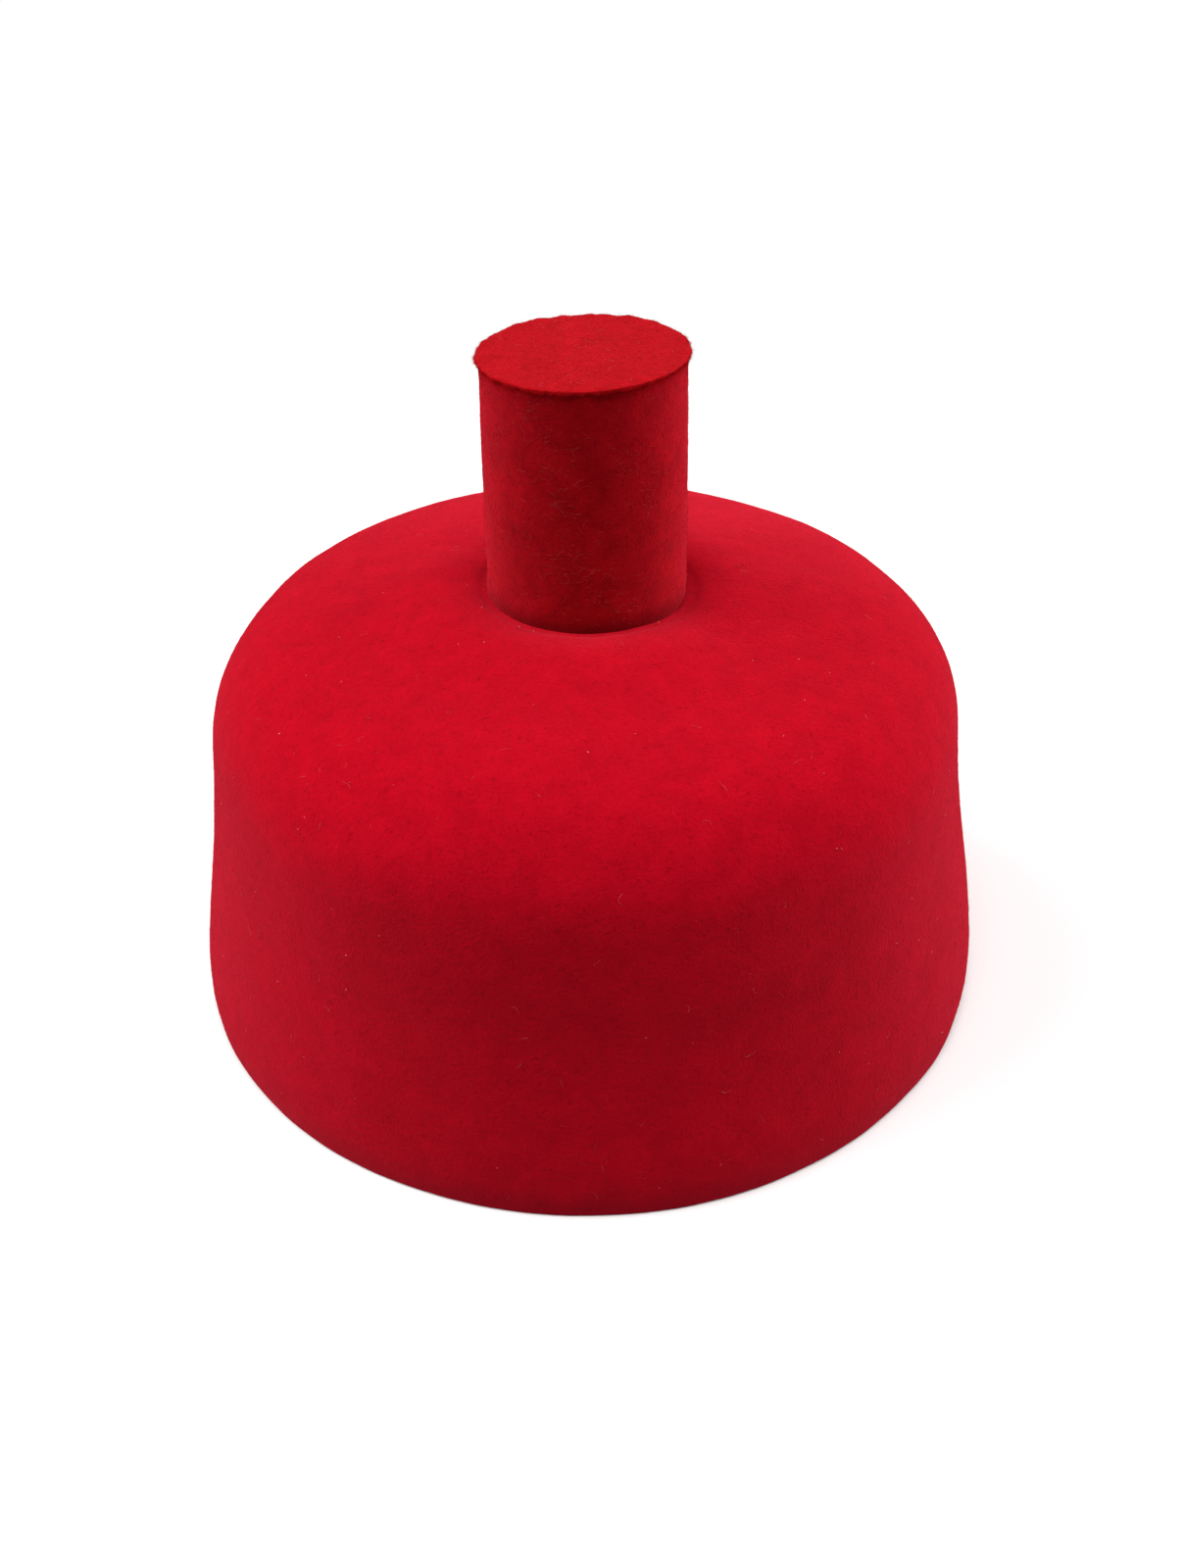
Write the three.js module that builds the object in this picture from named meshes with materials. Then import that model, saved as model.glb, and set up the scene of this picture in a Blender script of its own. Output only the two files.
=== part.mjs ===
// A round chieftaincy cap of thick red felt: a blocked crown with a soft shoulder and an open
// underside, and a stub on its top, made of a felt tube closed by a felt disc.
// Millimetres, +Z up. The rim stands on z = 0, the cap's axis is x = y = 0, its front is -Y.

import * as THREE from "three";

// Driving dimensions
const RIM_DIAMETER = 188; // outside the felt, for a head of about 57.5 cm
const CROWN_HEIGHT = 98; // rim to the flat seat that the stub stands on
const FELT_THICKNESS = 2.5;
const STUB_DIAMETER = 44.2; // at the foot of the tube
const STUB_TOP_DIAMETER = 43.2; // the tube draws in a little towards its disc
const STUB_HEIGHT = 55; // crown's seat to the top of the disc
const DISC_OVERHANG = 0.6; // how far the disc stands out past the tube
const STUB_OFFSET = -0.4; // how far the tube's foot stands from the cap's axis, along X
const STUB_LEAN = -0.6; // how much further the top of the stub stands along X
const STUB_TILT = 0.03; // rise of the disc towards +X
const GLUE_GAP = 0.3; // clearance between glued pieces
const EDGE_ROUND = 0.7; // rounding of a cut felt edge

// How finely the round forms are faceted
const CROWN_SIDES = 72;
const STUB_SIDES = 48;
const OUTER_STEPS = 30;
const INNER_STEPS = 26;
const ROUND_STEPS = 3;

const RIM_RADIUS = RIM_DIAMETER / 2;
const SEAT_RADIUS = STUB_DIAMETER / 2 + 3;

// The crown's outer profile, from the rim up the wall, over the shoulder and in to the seat.
// radius is a share of the rim's radius, height a share of the crown's height.
const CROWN_PROFILE = [
  { section: "rim", radius: 1.0, height: 0.0 },
  { section: "hem", radius: 1.005, height: 0.09 },
  { section: "lower wall", radius: 0.971, height: 0.3 },
  { section: "waist", radius: 0.946, height: 0.45 },
  { section: "upper wall", radius: 0.926, height: 0.61 },
  { section: "shoulder", radius: 0.902, height: 0.768 },
  { section: "shoulder top", radius: 0.83, height: 0.88 },
  { section: "dome edge", radius: 0.73, height: 0.943 },
  { section: "dome", radius: 0.56, height: 0.985 },
  { section: "ridge", radius: 0.38, height: 1.01 },
  { section: "dip", radius: SEAT_RADIUS / RIM_RADIUS, height: 1.0 },
];

// Soft hollows where the felt has been pressed in. azimuth is in degrees from +X towards +Y,
// wide is along the rim in degrees, tall is along the wall, and depth is towards the middle.
const DENTS = [
  { place: "right upper wall", azimuth: 8, height: 64, wide: 42, tall: 17, depth: 1.9 },
  { place: "right dome", azimuth: 42, height: 96, wide: 38, tall: 9, depth: 1.2 },
];

// The soft crown isn't quite round: it is longer along one azimuth by this share of its radius.
const OVAL_SHARE = 0.007;
const OVAL_AZIMUTH = 45;

// Felt, from its dye
const felt = (name, colour) =>
  new THREE.MeshStandardMaterial({ name, color: colour, roughness: 0.95, metalness: 0 });
const CROWN_FELT = felt("crown_felt", 0xc80f24);
const STUB_FELT = felt("stub_felt", 0xa50d1a);
const DISC_FELT = felt("disc_felt", 0xc9161f);

// Turns a closed profile of Vector2 (radius, height) about the cap's axis. The profile runs
// anticlockwise, seen with radius to the right and height up, so that the faces point out.
function turned(profile, sides) {
  return new THREE.LatheGeometry(profile, sides).rotateX(Math.PI / 2);
}

// A quarter round from one direction to another about a centre, as profile points.
function roundedCorner(radius, height, fromDegrees, toDegrees) {
  return Array.from({ length: ROUND_STEPS + 1 }, (_, step) => {
    const degrees = fromDegrees + ((toDegrees - fromDegrees) * step) / ROUND_STEPS;
    const turn = THREE.MathUtils.degToRad(degrees);
    return new THREE.Vector2(
      radius + EDGE_ROUND * Math.cos(turn),
      height + EDGE_ROUND * Math.sin(turn),
    );
  });
}

// The crown's outer line as one smooth curve, then straight across the seat to the axis.
function crownOutline() {
  const knots = CROWN_PROFILE.map(
    (row) => new THREE.Vector2(row.radius * RIM_RADIUS, row.height * CROWN_HEIGHT),
  );
  return new THREE.SplineCurve(knots);
}

// The felt's inner face: the outline moved in by the felt's thickness along its normal.
function innerPoint(outline, share) {
  const point = outline.getPointAt(share);
  const along = outline.getTangentAt(share);
  return new THREE.Vector2(
    point.x - along.y * FELT_THICKNESS,
    point.y + along.x * FELT_THICKNESS,
  );
}

// The dents and the oval, as a move of one point of the crown. The stub's seat stays flat.
function settleFelt(point) {
  const azimuth = THREE.MathUtils.radToDeg(Math.atan2(point.y, point.x));
  const radius = Math.hypot(point.x, point.y);
  const free = THREE.MathUtils.smoothstep(radius, SEAT_RADIUS, 2 * SEAT_RADIUS);
  const towardsMiddle = new THREE.Vector3(-point.x, -point.y, CROWN_HEIGHT / 2 - point.z).normalize();
  for (const dent of DENTS) {
    const turn = THREE.MathUtils.euclideanModulo(azimuth - dent.azimuth + 180, 360) - 180;
    const reach = (turn / dent.wide) ** 2 + ((point.z - dent.height) / dent.tall) ** 2;
    point.addScaledVector(towardsMiddle, dent.depth * free * Math.exp(-reach));
  }
  const fromLongAxis = THREE.MathUtils.degToRad(azimuth - OVAL_AZIMUTH);
  const stretch = 1 + OVAL_SHARE * free * Math.cos(2 * fromLongAxis);
  point.x *= stretch;
  point.y *= stretch;
}

// The stub's offset, lean and tilt, as a move of one point of it. Its foot stays level.
function leanStub(point) {
  const share = (point.z - CROWN_HEIGHT) / STUB_HEIGHT;
  point.z += STUB_TILT * share * point.x;
  point.x += STUB_OFFSET + STUB_LEAN * share;
}

// Moves every point of a geometry by a function that changes the point it is given.
function reshape(geometry, move) {
  const places = geometry.getAttribute("position");
  const point = new THREE.Vector3();
  for (let i = 0; i < places.count; i++) {
    move(point.fromBufferAttribute(places, i));
    places.setXYZ(i, point.x, point.y, point.z);
  }
  return geometry;
}

// One wall of felt, open below: up the outside, across the top, and down the inside.
function crownGeometry() {
  const outline = crownOutline();
  const outside = outline.getSpacedPoints(OUTER_STEPS);
  const inside = Array.from({ length: INNER_STEPS + 1 }, (_, step) =>
    innerPoint(outline, 1 - step / INNER_STEPS),
  );
  inside[INNER_STEPS].set(RIM_RADIUS - FELT_THICKNESS, 0);
  const profile = [
    ...outside,
    new THREE.Vector2(0, CROWN_HEIGHT),
    new THREE.Vector2(0, CROWN_HEIGHT - FELT_THICKNESS),
    ...inside,
    outside[0].clone(),
  ];
  return reshape(turned(profile, CROWN_SIDES), settleFelt);
}

// A strip of felt rolled into a tube, with cut edges above and below.
function stubTubeGeometry(foot, top) {
  const footRadius = STUB_DIAMETER / 2;
  const topRadius = STUB_TOP_DIAMETER / 2;
  const profile = [
    new THREE.Vector2(footRadius - FELT_THICKNESS, foot),
    new THREE.Vector2(footRadius, foot),
    ...roundedCorner(topRadius - EDGE_ROUND, top - EDGE_ROUND, 0, 90),
    new THREE.Vector2(topRadius - FELT_THICKNESS, top),
    new THREE.Vector2(footRadius - FELT_THICKNESS, foot),
  ];
  return reshape(turned(profile, STUB_SIDES), leanStub);
}

// A round of felt that closes the tube and stands out a little past it.
function stubDiscGeometry(foot, top) {
  const radius = STUB_TOP_DIAMETER / 2 + DISC_OVERHANG;
  const profile = [
    new THREE.Vector2(0, foot),
    ...roundedCorner(radius - EDGE_ROUND, foot + EDGE_ROUND, -90, 0),
    ...roundedCorner(radius - EDGE_ROUND, top - EDGE_ROUND, 0, 90),
    new THREE.Vector2(0, top),
  ];
  return reshape(turned(profile, STUB_SIDES), leanStub);
}

function piece(name, geometry, material) {
  const mesh = new THREE.Mesh(geometry, material);
  mesh.name = name;
  return mesh;
}

const stubTop = CROWN_HEIGHT + STUB_HEIGHT;
const discFoot = stubTop - FELT_THICKNESS;

const cap = new THREE.Group();
cap.name = "chieftaincy_cap";
cap.add(
  piece("crown", crownGeometry(), CROWN_FELT),
  piece("stub_tube", stubTubeGeometry(CROWN_HEIGHT + GLUE_GAP, discFoot - GLUE_GAP), STUB_FELT),
  piece("stub_disc", stubDiscGeometry(discFoot, stubTop), DISC_FELT),
);

export default cap;
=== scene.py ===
import math

import bpy
import numpy as np
from mathutils import Matrix, Quaternion, Vector


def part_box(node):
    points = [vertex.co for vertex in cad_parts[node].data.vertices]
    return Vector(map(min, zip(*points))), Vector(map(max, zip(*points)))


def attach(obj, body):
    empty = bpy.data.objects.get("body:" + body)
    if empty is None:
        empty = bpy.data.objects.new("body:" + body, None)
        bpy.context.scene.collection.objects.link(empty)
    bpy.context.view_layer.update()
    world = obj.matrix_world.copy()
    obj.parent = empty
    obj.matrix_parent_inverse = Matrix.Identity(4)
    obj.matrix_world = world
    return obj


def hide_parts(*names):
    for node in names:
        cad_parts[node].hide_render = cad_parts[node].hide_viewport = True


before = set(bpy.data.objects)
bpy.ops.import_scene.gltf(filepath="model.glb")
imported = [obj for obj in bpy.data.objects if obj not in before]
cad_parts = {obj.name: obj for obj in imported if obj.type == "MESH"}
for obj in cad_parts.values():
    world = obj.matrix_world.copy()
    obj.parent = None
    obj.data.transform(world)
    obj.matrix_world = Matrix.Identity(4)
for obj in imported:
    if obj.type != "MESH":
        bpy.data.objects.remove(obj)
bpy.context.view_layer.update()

# View
# The photograph looks down on the cap's front from about 35 degrees, from arm's length. The
# camera's place and turn are fitted to the cap's outline there, and nothing shifts the lens.
VIEW_DISTANCE = 0.3334
VIEW_HEIGHT = 0.2765
VIEW_DOWN = math.radians(34.75)
VIEW_ROLL = math.radians(-0.235)
VIEW_YAW = math.radians(-0.07)
LENS_MM = 38.7
SENSOR_MM = 36.0
NEAREST_SEEN = 0.01

bpy.ops.object.select_all(action="DESELECT")
bpy.ops.object.camera_add(location=(0, -VIEW_DISTANCE, VIEW_HEIGHT))
camera = bpy.context.object
camera.name = "photo_view"
yaw = Matrix.Rotation(VIEW_YAW, 3, "Z")
pitch = Matrix.Rotation(math.pi / 2 - VIEW_DOWN, 3, "X")
roll = Matrix.Rotation(VIEW_ROLL, 3, "Z")
camera.rotation_euler = (yaw @ pitch @ roll).to_euler()
camera.data.lens = LENS_MM
camera.data.sensor_width = SENSOR_MM
camera.data.clip_start = NEAREST_SEEN
bpy.context.scene.camera = camera

# Crown
# The body of the cap: one thick wool felt hood, steamed and pulled over a round block, so it has
# no seam. Its wall is nearly upright, its shoulder soft, and its rim is cut level and left raw.
FELT = 0.0025
RIM_RADIUS = 0.094
CROWN_HEIGHT = 0.098
SEAT_RADIUS = 0.0236
CROWN_SIDES = 144
STEPS_BETWEEN_ROWS = 4
SEAT_RINGS = 3
SEAT_RING_SHARE = 0.6
OVAL_SHARE = 0.007
OVAL_TURN = math.radians(45)
CROWN_DYE = (0.415, 0.0021, 0.0103)

# The outline, as shares of the rim's radius and of the crown's height.
CROWN_ROWS = [
    {"row": "rim", "radius": 1.0, "height": 0.0},
    {"row": "hem", "radius": 1.005, "height": 0.09},
    {"row": "lower wall", "radius": 0.971, "height": 0.3},
    {"row": "waist", "radius": 0.946, "height": 0.45},
    {"row": "upper wall", "radius": 0.926, "height": 0.61},
    {"row": "shoulder", "radius": 0.902, "height": 0.768},
    {"row": "shoulder top", "radius": 0.83, "height": 0.88},
    {"row": "dome edge", "radius": 0.73, "height": 0.943},
    {"row": "dome", "radius": 0.56, "height": 0.985},
    {"row": "ridge", "radius": 0.37, "height": 1.013},
    {"row": "roll", "radius": 0.284, "height": 1.011},
    {"row": "dip", "radius": SEAT_RADIUS / RIM_RADIUS, "height": 1.0},
]

# Where the felt has been pressed out of the round. Each press moves the points that lie near an
# azimuth, in radians from +X, and between two radii or heights. The felt within reach follows.
ANYWHERE = (-1.0, 1.0)
PRESSES = [
    {"place": "hollow in the right upper wall", "azimuth": 0.14, "beside": 0.4,
     "radius": ANYWHERE, "height": (0.057, 0.071), "move": (-0.0012, 0, 0), "reach": 0.036},
    {"place": "hollow in the right of the dome", "azimuth": 0.73, "beside": 0.3,
     "radius": (0.045, 0.062), "height": ANYWHERE, "move": (0, 0, -0.0012), "reach": 0.026},
    {"place": "fuller front shoulder", "azimuth": -math.pi / 2, "beside": 0.8,
     "radius": ANYWHERE, "height": (0.062, 0.079), "move": (0, -0.0014, 0.0004), "reach": 0.04},
    {"place": "raised felt at the stub's front left", "azimuth": -2.2, "beside": 1.1,
     "radius": (0.023, 0.033), "height": ANYWHERE, "move": (0, 0, 0.0013), "reach": 0.018},
]


def smooth_line(knots, steps):
    """Points along a smooth line through the knots, with this many steps from knot to knot."""
    ends = [knots[0], *knots, knots[-1]]
    line = []
    for a, b, c, d in zip(ends, ends[1:], ends[2:], ends[3:]):
        for step in range(steps):
            t = step / steps
            bend = 2 * a - 5 * b + 4 * c - d + t * (3 * (b - c) + d - a)
            line.append(b + 0.5 * t * (c - a + t * bend))
    return [*line, knots[-1]]


def start_ring(name, sides, radius, place):
    """A new object that is one bare ring of points, left in edit mode with the ring selected."""
    bpy.ops.object.select_all(action="DESELECT")
    bpy.ops.mesh.primitive_circle_add(vertices=sides, radius=radius, location=place)
    bpy.context.object.name = name
    bpy.ops.object.transform_apply(location=True, rotation=True, scale=True)
    bpy.ops.object.mode_set(mode="EDIT")
    bpy.ops.mesh.select_mode(type="VERT")
    bpy.ops.mesh.select_all(action="SELECT")
    return bpy.context.object


def raise_ring(move, centre, share):
    """Pulls a new ring out of the selected one, moves it and scales it about its centre."""
    bpy.ops.mesh.extrude_edges_move(TRANSFORM_OT_translate={"value": move})
    bpy.ops.transform.resize(value=(share, share, 1), center_override=centre)


def close_ring():
    """Fills the selected ring with faces that meet at one point in its middle."""
    bpy.ops.mesh.extrude_edges_move(TRANSFORM_OT_translate={"value": (0, 0, 0)})
    bpy.ops.mesh.merge(type="CENTER")


def settle_order(piece):
    """Puts points and faces in order of their place, because operators shuffle them at each run.

    The fibres are drawn from the faces by number, so this gives every run the same fibres.
    """
    mesh = piece.data
    places = [tuple(point.co) for point in mesh.vertices]
    order = sorted(range(len(places)), key=places.__getitem__)
    number = {old: new for new, old in enumerate(order)}
    faces = []
    for face in mesh.polygons:
        corners = [number[old] for old in face.vertices]
        start = corners.index(min(corners))
        faces.append(corners[start:] + corners[:start])
    mesh.clear_geometry()
    mesh.from_pydata([places[old] for old in order], [], sorted(faces))


def end_shaping(piece):
    """Turns all faces the same way out and leaves edit mode."""
    bpy.ops.mesh.select_all(action="SELECT")
    bpy.ops.mesh.normals_make_consistent(inside=False)
    bpy.ops.object.mode_set(mode="OBJECT")
    settle_order(piece)


def select_points(piece, test):
    """Selects the points of a piece that pass a test on their place, and leaves edit mode on."""
    bpy.ops.object.mode_set(mode="EDIT")
    bpy.ops.mesh.select_mode(type="VERT")
    bpy.ops.mesh.select_all(action="DESELECT")
    bpy.ops.object.mode_set(mode="OBJECT")
    for point in piece.data.vertices:
        point.select = test(point.co)
    bpy.ops.object.mode_set(mode="EDIT")


def press(piece, spot):
    """Moves one area of a soft piece, and the felt round it follows less and less."""
    near, far = spot["radius"]
    low, high = spot["height"]

    def inside(place):
        turn = math.atan2(place.y, place.x) - spot["azimuth"]
        beside = abs((turn + math.pi) % math.tau - math.pi)
        radius = place.to_2d().length
        return beside < spot["beside"] and near < radius < far and low < place.z < high

    select_points(piece, inside)
    bpy.ops.transform.translate(
        value=spot["move"],
        use_proportional_edit=True,
        proportional_edit_falloff="SMOOTH",
        proportional_size=spot["reach"],
    )


def apply_modifier(piece, kind, **settings):
    """Adds one modifier with these settings and applies it to the mesh."""
    bpy.context.view_layer.objects.active = piece
    modifier = piece.modifiers.new(kind.lower(), kind)
    for key, value in settings.items():
        setattr(modifier, key, value)
    bpy.ops.object.modifier_apply(modifier=modifier.name)


def uneven(piece, name, size, depth, **where):
    """Pushes a surface in and out a little, in soft patches of this size, as pressed felt is."""
    patches = bpy.data.textures.new(name, type="CLOUDS")
    patches.noise_scale = size
    patches.noise_depth = 1
    look = {"texture": patches, "texture_coords": "LOCAL", "strength": depth, "mid_level": 0.5}
    apply_modifier(piece, "DISPLACE", **look, **where)


def thicken(piece, thickness):
    """Gives a bare surface the thickness of its felt, inwards."""
    apply_modifier(piece, "SOLIDIFY", thickness=thickness, offset=-1, use_even_offset=True)


def soften_cuts(piece, width, segments, degrees):
    """Rounds the cut edges, which are those that turn by more than this many degrees."""
    limit = {"limit_method": "ANGLE", "angle_limit": math.radians(degrees)}
    apply_modifier(piece, "BEVEL", width=width, segments=segments, **limit)
    settle_order(piece)


crown_line = smooth_line(
    [Vector((row["radius"] * RIM_RADIUS, row["height"] * CROWN_HEIGHT)) for row in CROWN_ROWS],
    STEPS_BETWEEN_ROWS,
)
crown = start_ring("crown_felt", CROWN_SIDES, RIM_RADIUS, (0, 0, 0))
for below, above in zip(crown_line, crown_line[1:]):
    raise_ring((0, 0, above.y - below.y), (0, 0, above.y), above.x / below.x)
for _ in range(SEAT_RINGS):
    raise_ring((0, 0, 0), (0, 0, CROWN_HEIGHT), SEAT_RING_SHARE)
close_ring()
for spot in PRESSES:
    press(crown, spot)
end_shaping(crown)

# The soft crown is a little longer from its front left to its back right.
for turn, stretch in ((-OVAL_TURN, OVAL_SHARE), (OVAL_TURN, 0)):
    crown.rotation_euler = (0, 0, turn)
    bpy.ops.object.transform_apply(location=False, rotation=True, scale=False)
    crown.scale = (1 + stretch, 1 - stretch, 1)
    bpy.ops.object.transform_apply(location=False, rotation=False, scale=True)

apply_modifier(crown, "SUBSURF", levels=1, render_levels=1)
uneven(crown, "crown_pressing", size=0.032, depth=0.0008)
uneven(crown, "crown_pilling", size=0.006, depth=0.00016)
thicken(crown, FELT)
soften_cuts(crown, width=0.0004, segments=2, degrees=50)
bpy.ops.object.shade_smooth_by_angle(angle=math.radians(60))

# A Mix node has sockets for every kind of value, under the same names. These are for colours.
MIX_SHARE = 0
MIX_FIRST = 6
MIX_SECOND = 7
MIX_RESULT = 2


class Flow:
    """One output of a shader node. Sums on it add Math nodes to the same material."""

    def __init__(self, tree, socket):
        self.tree = tree
        self.socket = socket

    def node(self, kind, settings, values, out=0):
        """A new node with these settings, and these values or links on its sockets."""
        made = self.tree.nodes.new(kind)
        for key, value in settings.items():
            setattr(made, key, value)
        for key, value in values.items():
            if isinstance(value, Flow):
                self.tree.links.new(value.socket, made.inputs[key])
            else:
                made.inputs[key].default_value = value
        return Flow(self.tree, made.outputs[out])

    def into(self, node, name):
        """Links this to the named input of a node."""
        self.tree.links.new(self.socket, node.inputs[name])

    def sums(self, operation, first, second):
        return self.node("ShaderNodeMath", {"operation": operation}, {0: first, 1: second})

    def __add__(self, other):
        return self.sums("ADD", self, other)

    def __radd__(self, other):
        return self.sums("ADD", other, self)

    def __sub__(self, other):
        return self.sums("SUBTRACT", self, other)

    def __rsub__(self, other):
        return self.sums("SUBTRACT", other, self)

    def __mul__(self, other):
        return self.sums("MULTIPLY", self, other)

    def __rmul__(self, other):
        return self.sums("MULTIPLY", other, self)

    def or_more(self, other):
        """The larger of this and another."""
        return self.sums("MAXIMUM", self, other)

    def noise(self, scale, detail, rough=0.55, distort=0.0):
        """Soft grey noise at this place, from 0 to 1."""
        values = {"Vector": self, "Scale": scale, "Detail": detail}
        values |= {"Roughness": rough, "Distortion": distort}
        return self.node("ShaderNodeTexNoise", {}, values)

    def drawn_out(self, turn, stretch):
        """The same place, turned and squeezed so that a pattern on it runs out in one direction."""
        values = {"Vector": self, "Rotation": turn, "Scale": stretch}
        return self.node("ShaderNodeMapping", {}, values)

    def above(self, low, high):
        """0 below the low value, 1 above the high one, and soft in between."""
        values = {"Value": self, "From Min": low, "From Max": high}
        return self.node("ShaderNodeMapRange", {"interpolation_type": "SMOOTHSTEP"}, values)

    def colour(self, first, second):
        """The first colour where this is 0, the second where it is 1."""
        start = first if isinstance(first, Flow) else (*first, 1)
        values = {MIX_SHARE: self, MIX_FIRST: start, MIX_SECOND: (*second, 1)}
        return self.node("ShaderNodeMix", {"data_type": "RGBA"}, values, out=MIX_RESULT)


def shade(dye, share):
    """A dye made lighter or darker."""
    return tuple(channel * share for channel in dye)


def matte_material(name):
    """A new material without gloss, and its shader."""
    material = bpy.data.materials.new(name)
    material.use_nodes = True
    shader = material.node_tree.nodes["Principled BSDF"]
    shader.inputs["Specular IOR Level"].default_value = 0.0
    return material, shader


def place_on_piece(material):
    """The place on the piece, for the patterns of a material."""
    tree = material.node_tree
    return Flow(tree, tree.nodes.new("ShaderNodeTexCoord").outputs["Object"])


def felt_material(name, dye, fleck, streaks, mottle, sheen, tint, painted_foot_shade=None):
    """Matted wool: fine grain, crossing wisps of fibre, pale flecks and dark ticks between them.

    The last argument gives two heights for painted shade at a foot: darkest at the first, none from
    the second up.
    """
    material, shader = matte_material(name)
    place = place_on_piece(material)

    # Broad clouding, small patches, the grain of single fibres, and the pits between them.
    broad = place.noise(scale=26, detail=2)
    patch = place.noise(scale=150, detail=5, rough=0.65, distort=0.6)
    grain = place.noise(scale=1500, detail=3, rough=0.6)
    pits = place.noise(scale=1050, detail=2, rough=0.5, distort=1.2)

    # Fibres drawn out in several directions: wisps where any is dense, gaps where any is thin.
    drawn = [place.drawn_out(turn, stretch) for turn, stretch in streaks]
    first, *others = [way.noise(scale=1, detail=3, rough=0.6, distort=0.8) for way in drawn]
    wisps = first
    gaps = 1 - first
    for other in others:
        wisps = wisps.or_more(other)
        gaps = gaps.or_more(1 - other)

    # The dye varies about its own tone, with dark gaps and pits, and pale wisps on top of them.
    tone = (broad - 0.5) * 0.3 + (patch - 0.5) * mottle + (grain - 0.5) * 0.5 + 0.5
    dyed = tone.colour(shade(dye, 0.66), shade(dye, 1.34))
    dyed = (gaps.above(0.66, 0.80) * 0.5).colour(dyed, shade(dye, 0.55))
    dyed = (pits.above(0.58, 0.72) * 0.5).colour(dyed, shade(dye, 0.5))
    dyed = (wisps.above(0.68, 0.82) * 0.4).colour(dyed, fleck)
    # Painted shade: the felt darkens towards the foot, as the crease there would be in shadow.
    if painted_foot_shade:
        height = place.node("ShaderNodeSeparateXYZ", {}, {"Vector": place}, out="Z")
        dyed = ((1 - height.above(*painted_foot_shade)) * 0.8).colour(dyed, shade(dye, 0.25))

    relief = grain * 0.6 + wisps * 0.7 + patch * 0.35
    bump = {"Strength": 0.55, "Distance": 0.0005, "Height": relief}
    dyed.into(shader, "Base Color")
    (0.86 + grain * 0.12).into(shader, "Roughness")
    relief.node("ShaderNodeBump", {}, bump).into(shader, "Normal")
    shader.inputs["Sheen Weight"].default_value = sheen
    shader.inputs["Sheen Roughness"].default_value = 0.45
    shader.inputs["Sheen Tint"].default_value = (*tint, 1)
    return material


# Three ways that the wisps run, each a turn and how closely the pattern is packed along x, y and z.
CROWN_WISPS = [
    ((0.3, 0.5, 0.4), (1500, 260, 1500)),
    ((1.1, 0.2, 1.3), (260, 1500, 1500)),
    ((0.2, 1.2, 2.2), (1500, 1500, 300)),
]
crown_felt = felt_material(
    "crown_felt",
    CROWN_DYE,
    fleck=(0.50, 0.02, 0.035),
    streaks=CROWN_WISPS,
    mottle=0.75,
    sheen=0.4,
    tint=(1.0, 0.08, 0.13),
)
crown.data.materials.append(crown_felt)
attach(crown, "root")
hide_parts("crown")

# Stub tube
# The stub's side: a strip of the same felt rolled up into a tube and glued on end to the middle
# of the crown. Handling has scuffed it, so pale fibres lie across its darker nap.
TUBE_SIDES = 120
TUBE_ROWS = 14
TUBE_RADIUS = 0.0221
TUBE_TOP_RADIUS = 0.0216
STUB_HEIGHT = 0.055
STUB_OFFSET = -0.0004
STUB_LEAN = -0.0006
STUB_TILT = 0.03
STUB_DYE = (0.300, 0.0024, 0.0060)
DISC_FELT = 0.0009
GLUE_LINE = 0.0001
TUBE_TOP = CROWN_HEIGHT + STUB_HEIGHT - DISC_FELT - GLUE_LINE
# Heights of the painted shade at the tube's foot, where it meets the crown in a crease.
PAINTED_FOOT_SHADE = (CROWN_HEIGHT + 0.001, CROWN_HEIGHT + 0.006)
tube_low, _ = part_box("stub_tube")

tube = start_ring("stub_tube_felt", TUBE_SIDES, TUBE_RADIUS, (STUB_OFFSET, 0, tube_low.z))
row_rise = (TUBE_TOP - tube_low.z) / TUBE_ROWS
row_lean = STUB_LEAN / TUBE_ROWS
row_draw = (TUBE_TOP_RADIUS / TUBE_RADIUS) ** (1 / TUBE_ROWS)
for row in range(1, TUBE_ROWS + 1):
    centre = (STUB_OFFSET + row * row_lean, 0, tube_low.z + row * row_rise)
    raise_ring((row_lean, 0, row_rise), centre, row_draw)
    bpy.ops.transform.rotate(value=STUB_TILT / TUBE_ROWS, orient_axis="Y", center_override=centre)
end_shaping(tube)
apply_modifier(tube, "SUBSURF", levels=1, render_levels=1)
uneven(tube, "tube_rolling", size=0.016, depth=0.0005)
uneven(tube, "tube_pilling", size=0.003, depth=0.00015)
thicken(tube, FELT)
soften_cuts(tube, width=0.0004, segments=2, degrees=50)
bpy.ops.object.shade_smooth_by_angle(angle=math.radians(60))

TUBE_WISPS = [
    ((0.2, 0.1, 0.3), (300, 300, 1700)),
    ((0.5, -0.4, 0.9), (320, 1300, 1700)),
    ((0.9, 0.7, 0.2), (1500, 300, 1500)),
]
stub_felt = felt_material(
    "stub_felt",
    STUB_DYE,
    fleck=(0.46, 0.04, 0.05),
    streaks=TUBE_WISPS,
    mottle=1.7,
    sheen=1.0,
    tint=(1.0, 0.04, 0.07),
    # Painted shade darkens the tube towards its foot.
    painted_foot_shade=PAINTED_FOOT_SHADE,
)
tube.data.materials.append(stub_felt)
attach(tube, "root")
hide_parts("stub_tube")

# Stub disc
# A round of thinner felt, cut with shears a little on the slant, so that its edge is ragged. It is
# glued on the tube, stands out past it by about half a millimetre, and rises to the right.
DISC_SIDES = 160
DISC_RADIUS = 0.0222
DISC_RINGS = 7
DISC_SLANT = 0.992
SLANT_WIDTH = 0.0005
RAGGED_WIDTH = 0.0015
DISC_DYE = (0.390, 0.0042, 0.0075)
disc_centre = Vector((STUB_OFFSET + STUB_LEAN, 0, CROWN_HEIGHT + STUB_HEIGHT))

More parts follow.
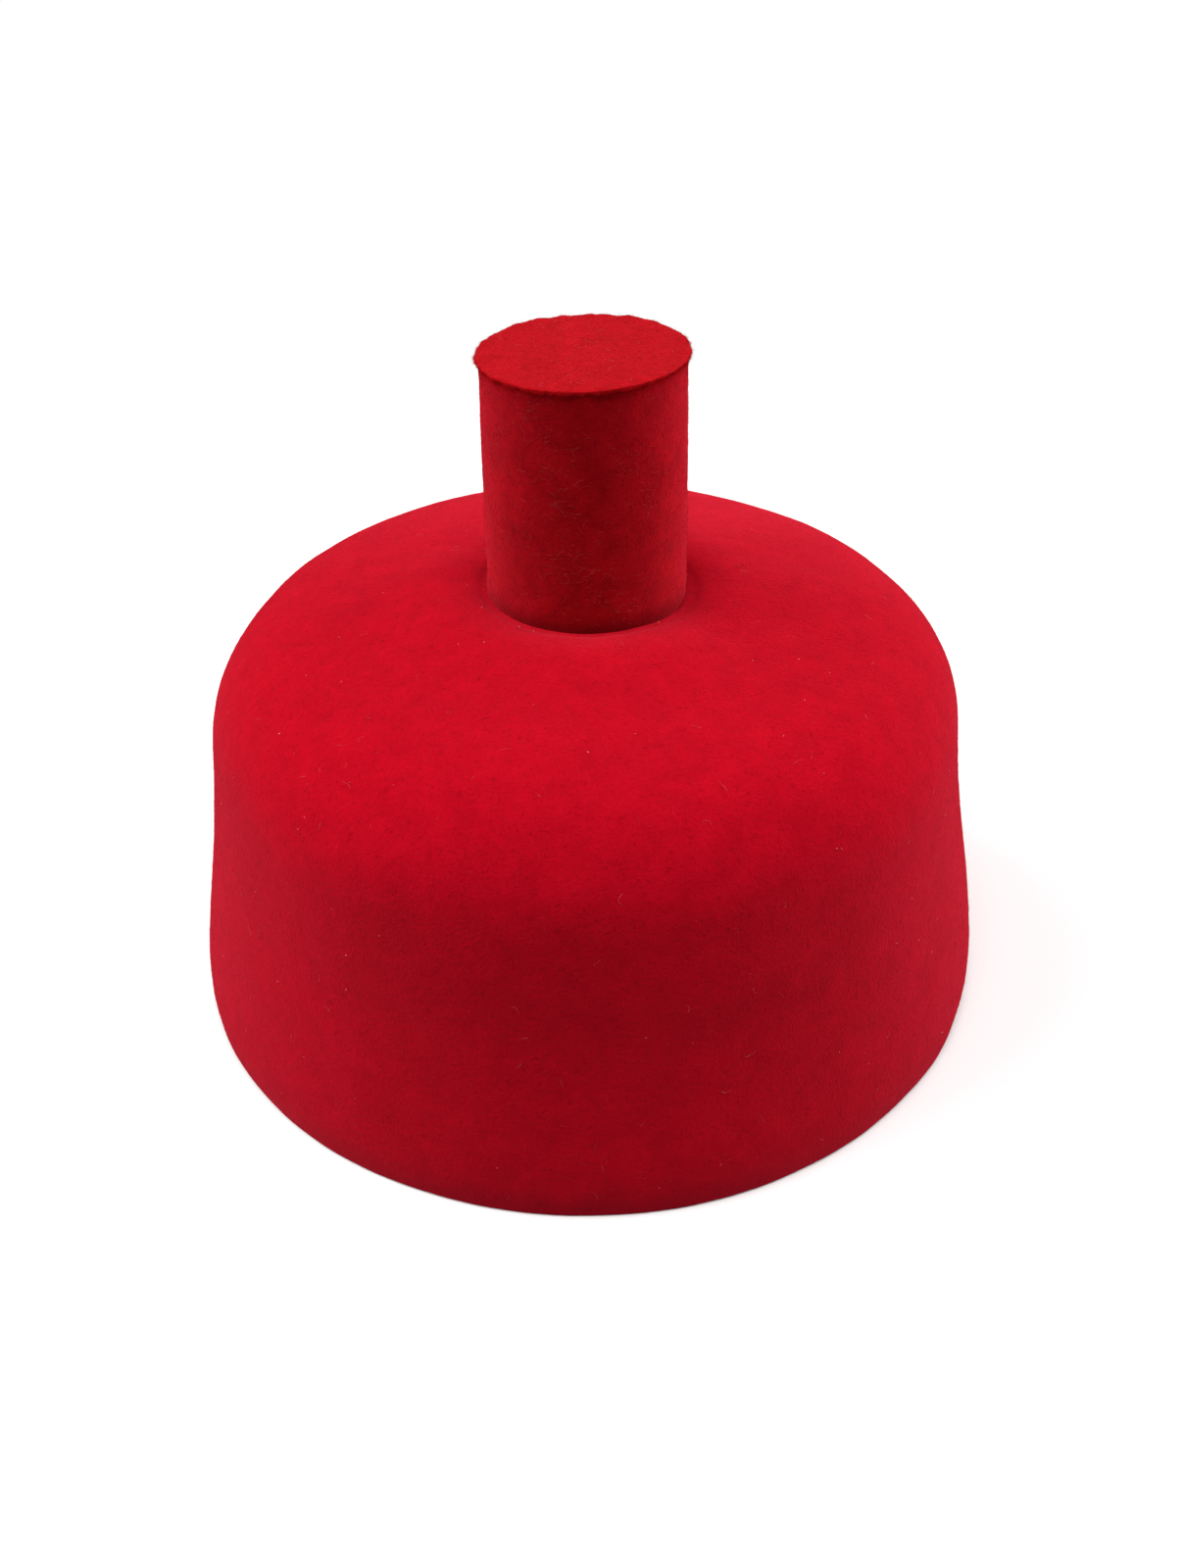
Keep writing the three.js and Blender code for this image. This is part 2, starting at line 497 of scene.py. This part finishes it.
disc = start_ring("stub_disc_felt", DISC_SIDES, DISC_RADIUS, disc_centre)
for ring in range(DISC_RINGS):
    raise_ring((0, 0, 0), disc_centre, (DISC_RINGS - ring) / (DISC_RINGS + 1 - ring))
close_ring()
bpy.ops.mesh.select_all(action="SELECT")
bpy.ops.transform.rotate(value=STUB_TILT, orient_axis="Y", center_override=disc_centre)
end_shaping(disc)

# A flat round has no inside, so its faces may have been turned down. The felt is added below them.
if disc.data.polygons[0].normal.z < 0:
    disc.data.flip_normals()
apply_modifier(disc, "SUBSURF", levels=1, render_levels=1)
uneven(disc, "disc_pressing", size=0.012, depth=0.0005)
thicken(disc, DISC_FELT)


def near_disc_edge(place, width):
    """Whether a place on the disc lies within this width of its edge."""
    return (place - disc_centre).to_2d().length > DISC_RADIUS - width


def under_disc(place):
    """Whether a place on the disc belongs to its underside."""
    middle = disc_centre.z - DISC_FELT / 2
    return place.z < middle + STUB_TILT * (place.x - disc_centre.x)


select_points(disc, lambda place: under_disc(place) and near_disc_edge(place, SLANT_WIDTH))
bpy.ops.transform.resize(value=(DISC_SLANT, DISC_SLANT, 1), center_override=disc_centre)
bpy.ops.object.mode_set(mode="OBJECT")
soften_cuts(disc, width=0.0003, segments=3, degrees=40)
edge = [point.index for point in disc.data.vertices if near_disc_edge(point.co, RAGGED_WIDTH)]
disc.vertex_groups.new(name="shorn_edge").add(edge, 1, "REPLACE")
uneven(disc, "disc_shearing", size=0.0026, depth=0.0007, vertex_group="shorn_edge")
bpy.ops.object.shade_smooth_by_angle(angle=math.radians(70))

disc_felt = felt_material(
    "disc_felt",
    DISC_DYE,
    fleck=(0.50, 0.04, 0.045),
    streaks=CROWN_WISPS,
    mottle=0.8,
    sheen=0.2,
    tint=(1.0, 0.10, 0.15),
)
disc.data.materials.append(disc_felt)
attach(disc, "root")
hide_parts("stub_disc")

# Nap
# The short ends of wool that stand out of the felt all over. On the crown they were brushed down
# from the stub to the rim, on the stub they lie every way, and at the disc's edge they hang over.
FIBRE_RADIUS = 0.000028
FIBRE_SUNK = 0.00006
FIBRE_TAPER = 0.6
FIBRE_SIDES = 3
SHORTEST_SHARE = 0.4
DARK_SHARE = 0.75
PALE_SHARE = 1.3
draw = np.random.default_rng(seed=7)


def unit(arrows):
    """Each arrow of an array, made one long."""
    return arrows / np.linalg.norm(arrows, axis=-1, keepdims=True)


def felt_spots(piece, count, keep):
    """Even random places on the faces of a piece that pass a test, and the normals there."""
    mesh = piece.data
    mesh.calc_loop_triangles()
    places = np.empty(3 * len(mesh.vertices))
    mesh.vertices.foreach_get("co", places)
    corners = np.empty(3 * len(mesh.loop_triangles), dtype=int)
    mesh.loop_triangles.foreach_get("vertices", corners)
    a, b, c = places.reshape(-1, 3)[corners.reshape(-1, 3)].transpose(1, 0, 2)
    across = np.cross(b - a, c - a)
    area = np.linalg.norm(across, axis=1)
    normals = across / np.maximum(area, 1e-12)[:, None]
    area = area * keep((a + b + c) / 3, normals)
    face = draw.choice(len(area), count, p=area / area.sum())
    along, over = draw.random((2, count, 1))
    along, over = np.where(along + over > 1, (1 - along, 1 - over), (along, over))
    spots = a[face] + along * (b - a)[face] + over * (c - a)[face]
    return spots, normals[face]


def fibres(name, lines, radii):
    """One mesh of closed three-sided fibres, each tapering along its line of places to its tip."""
    count, places = lines.shape[:2]
    along = unit(np.gradient(lines, axis=1))
    aslant = (0.36, 0.48, 0.80)
    side = unit(np.cross(along, aslant))
    other = np.cross(along, side)
    taper = (1 - np.arange(places - 1) / (places - 1)) ** FIBRE_TAPER
    rings = []
    for turn in np.arange(FIBRE_SIDES) * math.tau / FIBRE_SIDES:
        arm = side * math.cos(turn) + other * math.sin(turn)
        rings.append(lines[:, :-1] + arm[:, :-1] * taper[:, None] * radii[:, None, None])
    points = np.stack(rings, axis=2).reshape(count, -1, 3)
    points = np.concatenate([points, lines[:, -1:]], axis=1)

    tip = FIBRE_SIDES * (places - 1)
    last_ring = tip - FIBRE_SIDES
    faces = [(0, 2, 1)]
    for i, j in ((0, 1), (1, 2), (2, 0)):
        for ring in range(0, last_ring, FIBRE_SIDES):
            above = ring + FIBRE_SIDES
            faces += [(ring + i, ring + j, above + j), (ring + i, above + j, above + i)]
        faces.append((last_ring + i, last_ring + j, tip))
    starts = np.arange(count) * (tip + 1)
    faces = starts[:, None, None] + np.array(faces)

    mesh = bpy.data.meshes.new(name)
    mesh.from_pydata(points.reshape(-1, 3).tolist(), [], faces.reshape(-1, 3).tolist())
    piece = bpy.data.objects.new(name, mesh)
    bpy.context.scene.collection.objects.link(piece)
    return piece


def fibre_material(name, dark, pale):
    """Single wool fibres, each with its own share of the dye."""
    material, shader = matte_material(name)
    share = place_on_piece(material).noise(scale=700, detail=2)
    share.above(0.3, 0.7).colour(dark, pale).into(shader, "Base Color")
    (0.8 + share * 0.2).into(shader, "Roughness")
    return material


CROWN_MIDDLE = (0, 0, 0.04)
BARE_RIM = 0.0016
TUBE_OUTWARDS = 0.01
DISC_UNDERSIDE = -0.4
DISC_FACE = 0.85


def crown_outside(places, normals):
    """The crown's outer face, clear of the stub and of the cut rim."""
    outwards = (normals * (places - CROWN_MIDDLE)).sum(axis=1) > 0
    clear_of_stub = np.hypot(places[:, 0], places[:, 1]) > TUBE_RADIUS
    return outwards & clear_of_stub & (places[:, 2] > BARE_RIM)


def tube_outside(places, normals):
    """The tube's outer face, where the normal points well away from the cap's axis."""
    return (normals * places)[:, :2].sum(axis=1) > TUBE_OUTWARDS


def disc_outside(places, normals):
    """The disc's top and its edge."""
    return normals[:, 2] > DISC_UNDERSIDE


def disc_edge(places, normals):
    """The disc's cut edge alone."""
    return np.abs(normals[:, 2]) < DISC_FACE


# lift is how far the fibres stand up, and turn how far they stray from the brushed way, in radians.
NAPS = [
    {"name": "crown_nap", "on": crown, "keep": crown_outside, "slot": "crown_felt",
     "dye": CROWN_DYE, "count": 42000, "length": 0.0012, "lift": 0.45, "turn": 0.9},
    {"name": "tube_nap", "on": tube, "keep": tube_outside, "slot": "stub_felt",
     "dye": STUB_DYE, "count": 12000, "length": 0.0012, "lift": 0.55, "turn": 3.0},
    {"name": "disc_nap", "on": disc, "keep": disc_outside, "slot": "disc_felt",
     "dye": DISC_DYE, "count": 7000, "length": 0.0011, "lift": 0.6, "turn": 3.0},
    {"name": "disc_fringe", "on": disc, "keep": disc_edge, "slot": "disc_felt",
     "dye": shade(DISC_DYE, 1.1), "count": 6500, "length": 0.0013, "lift": 0.6, "turn": 1.0},
]
for nap in NAPS:
    each = (nap["count"], 1)
    spots, normals = felt_spots(nap["on"], nap["count"], nap["keep"])
    brushed = spots * (1, 1, 0) / np.hypot(spots[:, 0], spots[:, 1])[:, None] - (0, 0, 1)
    brushed = unit(brushed - normals * (brushed * normals).sum(axis=1, keepdims=True))
    turn = draw.normal(0, nap["turn"], each)
    lift = nap["lift"] * draw.random(each)
    heading = brushed * np.cos(turn) + np.cross(normals, brushed) * np.sin(turn)
    arrow = heading * np.cos(lift) + normals * np.sin(lift)
    length = nap["length"] * draw.uniform(SHORTEST_SHARE, 1, each)
    roots = spots - normals * FIBRE_SUNK
    lines = np.stack([roots, roots + arrow * length], axis=1)
    piece = fibres(nap["name"], lines, np.full(nap["count"], FIBRE_RADIUS))
    dark = shade(nap["dye"], DARK_SHARE)
    pale = shade(nap["dye"], PALE_SHARE)
    piece.data.materials.append(fibre_material(nap["name"], dark, pale))
    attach(piece, "root")

# Stray hairs
# Longer wool that has come loose but still lies on the felt: red curls over the crown, pale lint
# and specks caught in its nap, and pale scuffed fibres that lie mostly round the stub.
HAIR_STEPS = 8
HAIR_CLEAR = 0.00004
HAIR_WAVER = 0.22
HAIR_STRAY = 0.6
LEVEL_CALM = 0.6
HAIR_SHARES = (0.6, 1.2)
HAIRLESS_RIM = 0.005
RUB_SIZE = 0.0036
UNRUBBED_SHARE = 0.12

# Where the stub has been rubbed most: degrees round from its front towards +X, and the height.
RUBS = [
    (-32, 0.147), (-14, 0.141), (-15, 0.135), (23, 0.136), (-12, 0.128), (-9, 0.117), (-2, 0.114),
    (3, 0.109), (21, 0.104), (-38, 0.121), (36, 0.127), (-58, 0.136), (62, 0.115), (90, 0.139),
    (118, 0.112), (150, 0.130), (178, 0.143), (196, 0.118), (224, 0.134), (252, 0.108),
    (280, 0.126),
]


def laid_hair(piece, place, heading, length, curl, rise):
    """The line of one hair laid on a piece, from a place along a heading that curls as it goes."""
    line = []
    for step in range(HAIR_STEPS + 1):
        _, spot, normal, _ = piece.closest_point_on_mesh(place)
        line.append(spot + normal * (HAIR_CLEAR + rise * (step / HAIR_STEPS) ** 2))
        heading = (heading - normal * heading.dot(normal)).normalized()
        heading.rotate(Quaternion(normal, curl / HAIR_STEPS + draw.normal(0, HAIR_WAVER)))
        place = spot + heading * (length / HAIR_STEPS)
    return line


def crown_above_rim(places, normals):
    """The crown's outer face, so far above the rim that no hair hangs over it."""
    return crown_outside(places, normals) & (places[:, 2] > HAIRLESS_RIM)


def tube_rubbed(places, normals):
    """The tube's outer face, by how much it has been rubbed."""
    share = np.full(len(places), UNRUBBED_SHARE)
    for degrees, height in RUBS:
        turn = math.radians(degrees - 90)
        middle = (STUB_OFFSET + TUBE_RADIUS * math.cos(turn), TUBE_RADIUS * math.sin(turn), height)
        share += np.exp(-(((places - middle) / RUB_SIZE) ** 2).sum(axis=1))
    return tube_outside(places, normals) * share


# curl is in radians, rise is how far the tip stands up, and level is how much a hair keeps level.
HAIRS = [
    {"name": "crown_curls", "on": crown, "keep": crown_above_rim, "slot": "crown_felt",
     "dark": shade(CROWN_DYE, 0.9), "pale": (0.62, 0.03, 0.05), "count": 1500,
     "length": (0.0012, 0.004), "radius": 0.000026, "curl": 1.6, "rise": 0.0005, "level": 0.0},
    {"name": "crown_lint", "on": crown, "keep": crown_above_rim, "slot": "crown_felt",
     "dark": (0.50, 0.06, 0.08), "pale": (0.66, 0.22, 0.20), "count": 200,
     "length": (0.0006, 0.0032), "radius": 0.000024, "curl": 1.7, "rise": 0.0002, "level": 0.0},
    {"name": "crown_specks", "on": crown, "keep": crown_above_rim, "slot": "crown_felt",
     "dark": (0.60, 0.25, 0.22), "pale": (0.75, 0.55, 0.50), "count": 90,
     "length": (0.0002, 0.0004), "radius": 0.000065, "curl": 0.5, "rise": 0.0001, "level": 0.0},
    {"name": "tube_scuffs", "on": tube, "keep": tube_rubbed, "slot": "stub_felt",
     "dark": (0.34, 0.014, 0.018), "pale": (0.46, 0.06, 0.06), "count": 1100,
     "length": (0.0006, 0.0028), "radius": 0.00003, "curl": 0.9, "rise": 0.0003, "level": 0.7},
    {"name": "disc_hairs", "on": disc, "keep": disc_outside, "slot": "disc_felt",
     "dark": (0.48, 0.02, 0.025), "pale": (0.58, 0.10, 0.10), "count": 60,
     "length": (0.001, 0.004), "radius": 0.000035, "curl": 1.4, "rise": 0.0004, "level": 0.0},
]
for hair in HAIRS:
    spots, normals = felt_spots(hair["on"], hair["count"], hair["keep"])
    lines = []
    for spot, normal in zip(spots, normals):
        level = np.cross(normal, (0, 0, 1)) * draw.choice((-1, 1))
        stray = (1 - LEVEL_CALM * hair["level"]) * draw.normal(0, HAIR_STRAY, 3)
        heading = Vector(hair["level"] * level + stray)
        length = draw.uniform(*hair["length"])
        curl = draw.normal(0, hair["curl"])
        lines.append(laid_hair(hair["on"], Vector(spot), heading, length, curl, hair["rise"]))
    radii = hair["radius"] * draw.uniform(*HAIR_SHARES, hair["count"])
    piece = fibres(hair["name"], np.array(lines), radii)
    piece.data.materials.append(fibre_material(hair["name"], hair["dark"], hair["pale"]))
    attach(piece, "root")

# Studio
# A round white table top under broad soft lights: one overhead and a little to the front, one high
# on the left, and one low on each side, so that the front wall is the cap's darker side.
FLOOR_RADIUS = 0.4
FLOOR_SIDES = 128
FLOOR_BELOW = 0.0002
FLOOR_WHITE = (0.9, 0.9, 0.9)
FLOOR_ROUGHNESS = 0.9
bpy.ops.object.select_all(action="DESELECT")
bpy.ops.mesh.primitive_circle_add(
    vertices=FLOOR_SIDES, radius=FLOOR_RADIUS, fill_type="NGON", location=(0, 0, -FLOOR_BELOW)
)
floor = bpy.context.object
floor.name = "floor"
white, floor_shader = matte_material("floor_white")
floor_shader.inputs["Base Color"].default_value = (*FLOOR_WHITE, 1)
floor_shader.inputs["Roughness"].default_value = FLOOR_ROUGHNESS
floor.data.materials.append(white)
# The floor throws no light back on the cap, because the photograph shows none from below.
floor.visible_diffuse = False

# Each light's direction from the cap, how many degrees wide it looks from there, and its strength.
LIGHTS = [
    {"name": "overhead", "from": (0.0, -0.25, 1.0), "wide": 36, "strength": 2.3},
    {"name": "high_left", "from": (-1.0, 0.0, 0.85), "wide": 50, "strength": 1.75},
    {"name": "low_left", "from": (-1.0, 0.3, 0.1), "wide": 60, "strength": 1.3},
    {"name": "low_right", "from": (1.0, 0.3, 0.1), "wide": 60, "strength": 3.4},
]
for light in LIGHTS:
    aim = -Vector(light["from"])
    bpy.ops.object.light_add(type="SUN", rotation=aim.to_track_quat("-Z", "Y").to_euler())
    lamp = bpy.context.object
    lamp.name = light["name"] + "_light"
    lamp.data.angle = math.radians(light["wide"])
    lamp.data.energy = light["strength"]

# The backdrop is white to look at, but lights the cap only weakly.
BACKDROP_SEEN = 1.0
BACKDROP_LIGHT = 0.22
world = bpy.data.worlds.new("studio")
world.use_nodes = True
studio = world.node_tree
backdrop = studio.nodes["Background"]
backdrop.inputs["Color"].default_value = (1, 1, 1, 1)
seen = Flow(studio, studio.nodes.new("ShaderNodeLightPath").outputs["Is Camera Ray"])
(seen * (BACKDROP_SEEN - BACKDROP_LIGHT) + BACKDROP_LIGHT).into(backdrop, "Strength")
bpy.context.scene.world = world
bpy.context.scene.view_settings.view_transform = "Standard"
